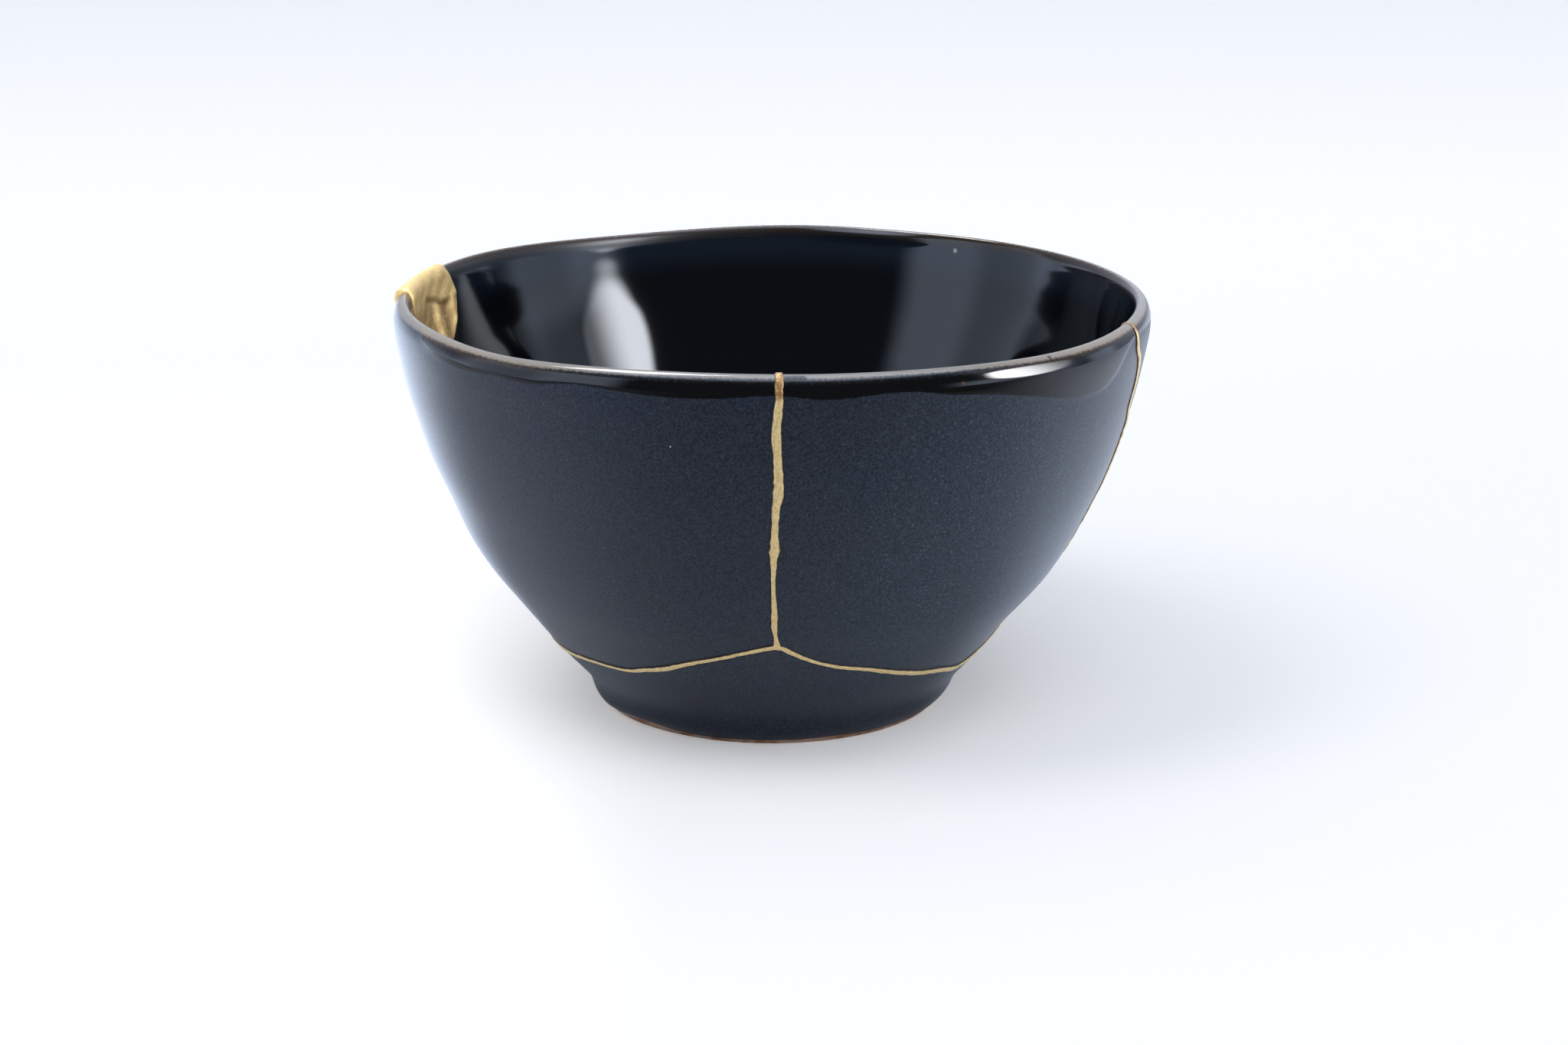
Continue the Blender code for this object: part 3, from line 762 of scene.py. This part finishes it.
def glazeFinish():
    material, tree, shader, place = newMaterial("dark_glaze")
    fromCrest, bandEdge, clayEdge, thinGlaze, teal = (
        addNode(tree, "Attribute", attribute_name=name).outputs["Fac"]
        for name in ("fromCrest", "bandEdge", "clayEdge", "thinGlaze", "teal"))

    # satin outside: navy full of fine blue-grey crystals, teal on one side and faintly brown on the other
    crystals = effect(tree, "speckle", links={"Place": place}, Size=glaze["crystalSize"],
                      Cover=glaze["crystalCover"], Softness=0.09)
    dots = effect(tree, "speckle", links={"Place": place}, Size=0.55, Cover=0.37, Softness=0.04)
    clouds = effect(tree, "speckle", links={"Place": place}, Size=14.0, Cover=0.5, Softness=0.22)
    satin = blended(tree, maths(tree, "MULTIPLY", clouds, 0.45), glaze["navy"], glaze["brownTint"])
    satin = blended(tree, maths(tree, "MULTIPLY", teal, 0.5), satin, glaze["tealTint"])
    crystalShare = maths(tree, "MULTIPLY", crystals, maths(tree, "ADD", maths(tree, "MULTIPLY", teal, 0.5), 0.42))
    satin = blended(tree, crystalShare, satin, glaze["crystal"])
    satin = blended(tree, maths(tree, "MULTIPLY", dots, rampOf(tree, teal, 0.0, 0.8, 0.25, 0.85)), satin, glaze["dot"])

    # glossy band under the rim
    bandMask = effect(tree, "raggedEdge", links={"Distance": bandEdge, "Place": place}, Ragged=0.10, Grain=1.3,
                      Softness=0.16)
    outside = blended(tree, bandMask, satin, glaze["band"])

    # glossy inside with a blue ring under the rim
    ring = maths(tree, "MULTIPLY", rampOf(tree, fromCrest, -11.0, -4.0), rampOf(tree, fromCrest, -3.2, -1.6, 1.0, 0.0))
    inside = blended(tree, ring, glaze["inside"], glaze["blueRing"])
    innerCrest = rampOf(tree, fromCrest, -3.2, -1.0)
    inside = blended(tree, innerCrest, inside, glaze["innerBrown"])
    insideMask = rampOf(tree, fromCrest, -0.5, 0.5, 1.0, 0.0)
    colour = blended(tree, insideMask, outside, inside)

    # the glaze is thin on the crest and breaks to ochre and tan
    split = addNode(tree, "SeparateXYZ", links={0: place})
    toSides = rampOf(tree, split.outputs["Y"], -72.0, -45.0)
    toSides = maths(tree, "MULTIPLY", toSides, bandMask)
    streaks = effect(tree, "raggedEdge", Ragged=0.35, Grain=0.6, Softness=0.6, links={
        "Distance": maths(tree, "ADD", thinGlaze, 0.6), "Place": place})
    thin = effect(tree, "raggedEdge", Ragged=0.2, Grain=0.6, Softness=0.35, links={
        "Distance": thinGlaze, "Place": place})
    veil = blended(tree, toSides, glaze["crestVeil"], glaze["ochre"])
    pale = blended(tree, toSides, glaze["crestPale"], glaze["crestTan"])
    colour = blended(tree, maths(tree, "MULTIPLY", streaks, 0.8), colour, veil)
    colour = blended(tree, maths(tree, "MULTIPLY", thin, 0.85), colour, pale)

    for centre, radius, kind in marks:
        mark = effect(tree, "spot", links={"Place": place}, Centre=centre, Radius=radius)
        colour = blended(tree, maths(tree, "MULTIPLY", mark, 0.85), colour, markColours[kind])

    # bare clay at the foot
    bare = effect(tree, "raggedEdge", links={"Distance": clayEdge, "Place": place}, Ragged=0.08, Grain=1.2,
                  Softness=0.1)
    patches = effect(tree, "speckle", links={"Place": place}, Size=5.0, Cover=0.45, Softness=0.08)
    clay = blended(tree, patches, glaze["clay"], glaze["terracotta"])
    colour = blended(tree, bare, colour, clay)
    tree.links.new(colour, shader.inputs["Base Color"])

    gloss = maths(tree, "MAXIMUM", bandMask, insideMask)
    roughness = rampOf(tree, gloss, 0.0, 1.0, glaze["satinRoughness"], glaze["glossRoughness"])
    roughness = maths(tree, "ADD", roughness, maths(tree, "MULTIPLY", thin, 0.05))
    matte = maths(tree, "MULTIPLY", rampOf(tree, fromCrest, -3.6, -2.4), rampOf(tree, split.outputs["X"], -4.0, 7.0, 1.0, 0.0))
    matte = maths(tree, "MULTIPLY", matte, insideMask)
    roughness = maths(tree, "ADD", roughness, maths(tree, "MULTIPLY", matte, 0.24))
    roughness = maths(tree, "ADD", roughness, maths(tree, "MULTIPLY", bare, 0.35), clamp=True)
    tree.links.new(roughness, shader.inputs["Roughness"])
    shader.inputs["Specular IOR Level"].default_value = glaze["specular"]

    grain = effect(tree, "speckle", "Height", links={"Place": place}, Size=0.8, Cover=0.5, Softness=0.2)
    grain = maths(tree, "MULTIPLY", grain, maths(tree, "SUBTRACT", 1.0, gloss))
    bump = addNode(tree, "Bump", values={"Strength": 0.35, "Distance": 0.05 * mm}, links={"Height": grain})
    tree.links.new(bump.outputs[0], shader.inputs["Normal"])
    return material


gold = {
    "leaf": (0.88, 0.61, 0.24),
    "pale": (0.98, 0.80, 0.44),
    "fillLeaf": (0.84, 0.53, 0.17),
    "fillPale": (0.95, 0.71, 0.31),
    # dark brown for the brush's drags and specks, for painted shade in the fill's low places and for the darker gold
    # over the rim
    "deep": (0.32, 0.17, 0.05),
    "lacquer": (0.055, 0.030, 0.012),
    "grain": 0.35,
    "roughness": 0.44,
    "metallic": 0.35,
}


def goldFinish(name, leaf, pale):
    # gold powder on lacquer: fine grain, darker where the brush dragged it, painted shade in the fill's low places,
    # darker brown over the rim on the seams, and a thin edge of bare lacquer
    material, tree, shader, place = newMaterial(name)
    grain = effect(tree, "speckle", links={"Place": place}, Size=gold["grain"], Cover=0.5, Softness=0.2)
    pits = effect(tree, "speckle", links={"Place": place}, Size=0.7, Cover=0.33, Softness=0.05)
    colour = blended(tree, grain, leaf, pale)
    drags = effect(tree, "speckle", links={"Place": stretched(tree, place, 0.5, 2.2)}, Size=0.5, Cover=0.42,
                   Softness=0.15)
    colour = blended(tree, maths(tree, "MULTIPLY", drags, 0.4), colour, gold["deep"])
    colour = blended(tree, maths(tree, "MULTIPLY", pits, 0.6), colour, gold["deep"])
    # painted shade in the fill's low places and darker brown gold over the rim on the seams; glint spots halve it,
    # leaving painted glints
    low, bare = (addNode(tree, "Attribute", attribute_name=name).outputs["Fac"] for name in ("paintedShadeAndDarkGold", "bareEdge"))
    glints = effect(tree, "speckle", links={"Place": place}, Size=0.6, Cover=0.42, Softness=0.06)
    low = maths(tree, "MULTIPLY", low, rampOf(tree, glints, 0.0, 1.0, 1.0, 0.5))
    colour = blended(tree, low, colour, gold["deep"])
    colour = blended(tree, bare, colour, gold["lacquer"])
    tree.links.new(colour, shader.inputs["Base Color"])
    shader.inputs["Metallic"].default_value = gold["metallic"]
    roughness = maths(tree, "ADD", gold["roughness"], maths(tree, "MULTIPLY", grain, 0.12))
    tree.links.new(roughness, shader.inputs["Roughness"])
    height = effect(tree, "speckle", "Height", links={"Place": place}, Size=gold["grain"], Cover=0.5, Softness=0.2)
    bump = addNode(tree, "Bump", values={"Strength": 0.5, "Distance": 0.1 * mm}, links={"Height": height})
    tree.links.new(bump.outputs[0], shader.inputs["Normal"])
    return material


def paintMask(piece, name, values):
    attribute = piece.data.attributes.new(name, "FLOAT", "POINT")
    attribute.data.foreach_set("value", np.asarray(values, np.float32).ravel())


def paintShard(piece, angle, station):
    # distances in mm that the glaze's edges are drawn from
    height = np.interp(station, section["station"], section["height"])
    paintMask(piece, "fromCrest", station)
    paintMask(piece, "bandEdge", np.where(station > 0, height - roundLine(glazeLines["bandEdge"], angle), 5.0))
    paintMask(piece, "thinGlaze", np.minimum(station + 0.25, roundLine(glazeLines["thinTo"], angle) - station))
    underFoot = section["station"][-1] - station < 29.5
    clay = np.where(station > 0, roundLine(glazeLines["clayEdge"], angle) - height, -9.0)
    paintMask(piece, "clayEdge", np.where(underFoot, -9.0, clay))
    paintMask(piece, "teal", np.exp(-(turnBetween(angle, 42) / 27) ** 2 - ((height - 46) / 36) ** 2))


glazeMaterial = glazeFinish()
seamMaterial = goldFinish("gold_seam", gold["leaf"], gold["pale"])
fillMaterial = goldFinish("gold_fill", gold["fillLeaf"], gold["fillPale"])

leftShard = wallShard("left_wall_shard", "side", -360, "front", 0, 330, 80, glazeMaterial)
rightShard = wallShard("right_wall_shard", "front", 0, "side", 0, 120, 80, glazeMaterial)
footShard = baseShard("base_shard", 360, glazeMaterial)
seams = goldSeams(seamMaterial)
fill = goldFill(fillMaterial)

# the studio: a pale floor, a pale back and a dark room on the camera's side, with soft panels

studio = {
    "floorSize": 8.0,
    "floorColour": (0.91, 0.93, 0.965),
    "frontFloor": 0.12,        # how much of the floor in front of the bowl shows in its glaze
    "room": 0.12,
    # azimuth from, to, elevation from, to, softness, brightness
    "patches": [(105, 255, -5, 75, 22, 0.95),
                (-104, -48, -20, 33, 5, 1.6),
                (-74, -48, -20, 33, 6, 1.2),
                (-127, -100, -20, 6, 6, 1.5),
                (54, 98, -20, 12, 5, 1.3),
                (108, 121, -20, 12, 3, 1.2),
                (58, 72, -10, 11, 6, 1.8),
                (70, 100, 5, 50, 8, 1.2),
                (-400, 400, 58, 120, 9, 4.5)],
    # light that the glaze sees on the floor at its two sides, as (azimuth from, to, softness, brightness)
    "floorGlows": [(-170, -116, 20, 3.0), (-100, -40, 22, 0.5), (74, 150, 18, 0.95)],
    "glowColour": (0.80, 0.93, 1.18),
    # the floor's glow for the camera near the bowl and far back, and a painted pool of light at the bowl's left
    "cameraGlowAndLeftLight": (0.24, 0.34, 0.35),
}


def softPatchGroup():
    names = {"Azimuth": 0.0, "Elevation": 0.0, "From": 0.0, "To": 1.0, "Low": 0.0, "High": 1.0, "Softness": 5.0}
    group, given, result = makeGroup("softPatch", names, ["Mask"])
    mask = None
    for value, low, high in (("Azimuth", "From", "To"), ("Elevation", "Low", "High")):
        for edge, start, end in ((low, 0.0, 1.0), (high, 1.0, 0.0)):
            before = maths(group, "SUBTRACT", given[edge], given["Softness"])
            after = maths(group, "ADD", given[edge], given["Softness"])
            side = rampOf(group, given[value], before, after, start, end)
            mask = side if mask is None else maths(group, "MULTIPLY", mask, side)
    group.links.new(mask, result["Mask"])
    return group


groups["softPatch"] = softPatchGroup()


def addWorld():
    world = bpy.data.worlds.new("studio")
    bpy.context.scene.world = world
    world.use_nodes = True
    tree = world.node_tree
    direction = addNode(tree, "TexCoord").outputs["Generated"]
    split = addNode(tree, "SeparateXYZ", links={0: direction})
    azimuth = maths(tree, "ARCTAN2", split.outputs["X"], maths(tree, "MULTIPLY", split.outputs["Y"], -1.0))
    azimuth = maths(tree, "DEGREES", azimuth)
    wrapped = maths(tree, "WRAP", azimuth, 360.0)
    wrapped.node.inputs[2].default_value = 0.0
    elevation = maths(tree, "DEGREES", maths(tree, "ARCSINE", split.outputs["Z"]))
    total = studio["room"]
    for start, end, low, high, softness, strength in studio["patches"]:
        turned = wrapped if end > 180 else azimuth
        mask = effect(tree, "softPatch", links={"Azimuth": turned, "Elevation": elevation}, From=start, To=end,
                      Low=low, High=high, Softness=softness)
        total = maths(tree, "ADD", maths(tree, "MULTIPLY", mask, strength), total)
    seen = addNode(tree, "LightPath").outputs["Is Camera Ray"]
    total = maths(tree, "MAXIMUM", total, maths(tree, "MULTIPLY", seen, 1.0))
    background = tree.nodes["Background"]
    background.inputs["Color"].default_value = (*studio["glowColour"], 1)
    tree.links.new(total, background.inputs["Strength"])
    world.cycles_visibility.diffuse = False


def addFloor():
    size = studio["floorSize"] / 2
    mesh = bpy.data.meshes.new("floor")
    mesh.from_pydata([(-size, -size, 0), (size, -size, 0), (size, size, 0), (-size, size, 0)], [], [(0, 1, 2, 3)])
    floor = bpy.data.objects.new("floor", mesh)
    bpy.context.scene.collection.objects.link(floor)
    material, tree, shader, place = newMaterial("pale_floor")
    split = addNode(tree, "SeparateXYZ", links={0: place})
    front = rampOf(tree, split.outputs["Y"], -230.0, -50.0, studio["frontFloor"], 1.0)
    azimuth = maths(tree, "ARCTAN2", split.outputs["X"], maths(tree, "MULTIPLY", split.outputs["Y"], -1.0))
    azimuth = maths(tree, "DEGREES", azimuth)
    seen = addNode(tree, "LightPath").outputs["Is Glossy Ray"]
    glow = 0.0
    for start, end, softness, brightness in studio["floorGlows"]:
        mask = effect(tree, "softPatch", links={"Azimuth": azimuth}, From=start, To=end, Low=-90.0, High=90.0,
                      Softness=softness)
        glow = maths(tree, "ADD", maths(tree, "MULTIPLY", mask, brightness), glow)
    fromBowl = addNode(tree, "VectorMath", operation="LENGTH", links={0: place}).outputs["Value"]
    glow = maths(tree, "MULTIPLY", glow, rampOf(tree, fromBowl, 35.0, 100.0, 0.3, 1.0))
    glow = maths(tree, "MULTIPLY", glow, seen)

    # the floor is close to overexposed: for the camera it glows a little, more so far back, and at the left of the
    # bowl a painted pool of light fills the bowl's shadow
    camera = addNode(tree, "LightPath").outputs["Is Camera Ray"]
    lift, farLift, leftPaintedLight = studio["cameraGlowAndLeftLight"]
    left = rampOf(tree, split.outputs["X"], -80.0, -15.0, leftPaintedLight, 0.0)
    left = maths(tree, "MULTIPLY", left, rampOf(tree, split.outputs["Y"], 60.0, 300.0, 1.0, 0.0))
    glowAndPaintedLight = maths(tree, "ADD", left, rampOf(tree, split.outputs["Y"], 50.0, 600.0, lift, farLift))
    total = maths(tree, "ADD", glow, maths(tree, "MULTIPLY", glowAndPaintedLight, camera))
    tree.links.new(total, shader.inputs["Emission Strength"])
    tree.links.new(blended(tree, camera, studio["glowColour"], (1.0, 1.0, 1.0)), shader.inputs["Emission Color"])
    share = maths(tree, "ADD", maths(tree, "MULTIPLY", maths(tree, "SUBTRACT", front, 1.0), seen), 1.0)
    tree.links.new(blended(tree, share, (0.0, 0.0, 0.0), studio["floorColour"]), shader.inputs["Base Color"])
    shader.inputs["Roughness"].default_value = 0.9
    shader.inputs["Specular IOR Level"].default_value = 0.1
    mesh.materials.append(material)


def addPanel(name, azimuths, elevations, distance, brightness, fade=None, colour=(1, 1, 1), mirrored=True,
             pieces=()):
    # an area light that fills these angles as seen from the bowl; its fade is (from, to, least) across it
    # and goes with soft edges above and below; a mirrored one shows in the glaze, of these pieces alone if
    # they are given, and the others light the floor
    middle = [math.radians(sum(pair) / 2) for pair in (azimuths, elevations)]
    width = 2 * distance * math.tan(math.radians(azimuths[1] - azimuths[0]) / 2)
    if elevations[1] < 90:
        width *= math.cos(middle[1])
    height = 2 * distance * math.tan(math.radians(elevations[1] - elevations[0]) / 2)
    light = bpy.data.lights.new(name, "AREA")
    light.shape = "RECTANGLE"
    light.size, light.size_y = width, height
    light.energy = brightness * math.pi * width * height
    light.color = colour
    if fade:
        light.use_nodes = True
        tree = light.node_tree
        split = addNode(tree, "SeparateXYZ", links={0: addNode(tree, "NewGeometry").outputs["Parametric"]})
        strength = rampOf(tree, split.outputs[0], fade[0], fade[1], 1.0, fade[2])
        centre = addNode(tree, "VectorMath", operation="DISTANCE", values={1: (0.5, 0.5, 0.0)},
                         links={0: split.inputs[0].links[0].from_socket})
        strength = maths(tree, "MULTIPLY", strength, rampOf(tree, centre.outputs["Value"], 0.38, 0.5, 1.0, 0.0))
        tree.links.new(strength, tree.nodes["Emission"].inputs["Strength"])
    panel = bpy.data.objects.new(name, light)
    away = Vector((math.sin(middle[0]) * math.cos(middle[1]), -math.cos(middle[0]) * math.cos(middle[1]),
                   math.sin(middle[1])))
    panel.location = Vector((0, 0, 0.05)) + away * distance
    panel.rotation_mode = "QUATERNION"
    panel.rotation_quaternion = away.to_track_quat("Z", "Y")
    panel.visible_camera = False
    panel.visible_glossy = mirrored
    panel.visible_diffuse = not mirrored
    bpy.context.scene.collection.objects.link(panel)
    if pieces:
        lit = bpy.data.collections.new(name)
        for piece in pieces:
            lit.objects.link(piece)
        panel.light_linking.receiver_collection = lit


def addCamera():
    camera = bpy.data.objects.new("camera", bpy.data.cameras.new("camera"))
    bpy.context.scene.collection.objects.link(camera)
    camera.data.sensor_width = 36
    camera.data.lens = 70.3125
    camera.location = (0, -0.6015, 0.2070)
    camera.rotation_euler = (math.radians(90 - 15.903), 0, math.radians(-0.226))
    bpy.context.scene.camera = camera


addFloor()
addWorld()
addPanel("right_front_panel", (47, 77), (9, 40), 1.3, 32, (0.3, 0.85, 0.1), (0.93, 0.98, 1.06),
         pieces=(leftShard, footShard, seams, fill))
addPanel("right_side_panel", (65, 100), (2, 34), 1.3, 46, (0.15, 0.9, 0.07), pieces=(rightShard,))
addPanel("high_window", (-165, -120), (54, 72), 1.5, 18)
addPanel("key_light", (-78, -44), (42, 74), 1.6, 3.6, colour=(1, 0.97, 0.9), mirrored=False)
addPanel("front_light", (-5, 60), (24, 75), 3, 1.9, colour=(0.97, 0.985, 1.03), mirrored=False)
addPanel("sky_light", (-62, 62), (30, 150), 5, 0.45, colour=(0.95, 0.98, 1.05), mirrored=False)
addCamera()
bpy.context.scene.view_settings.view_transform = "Standard"
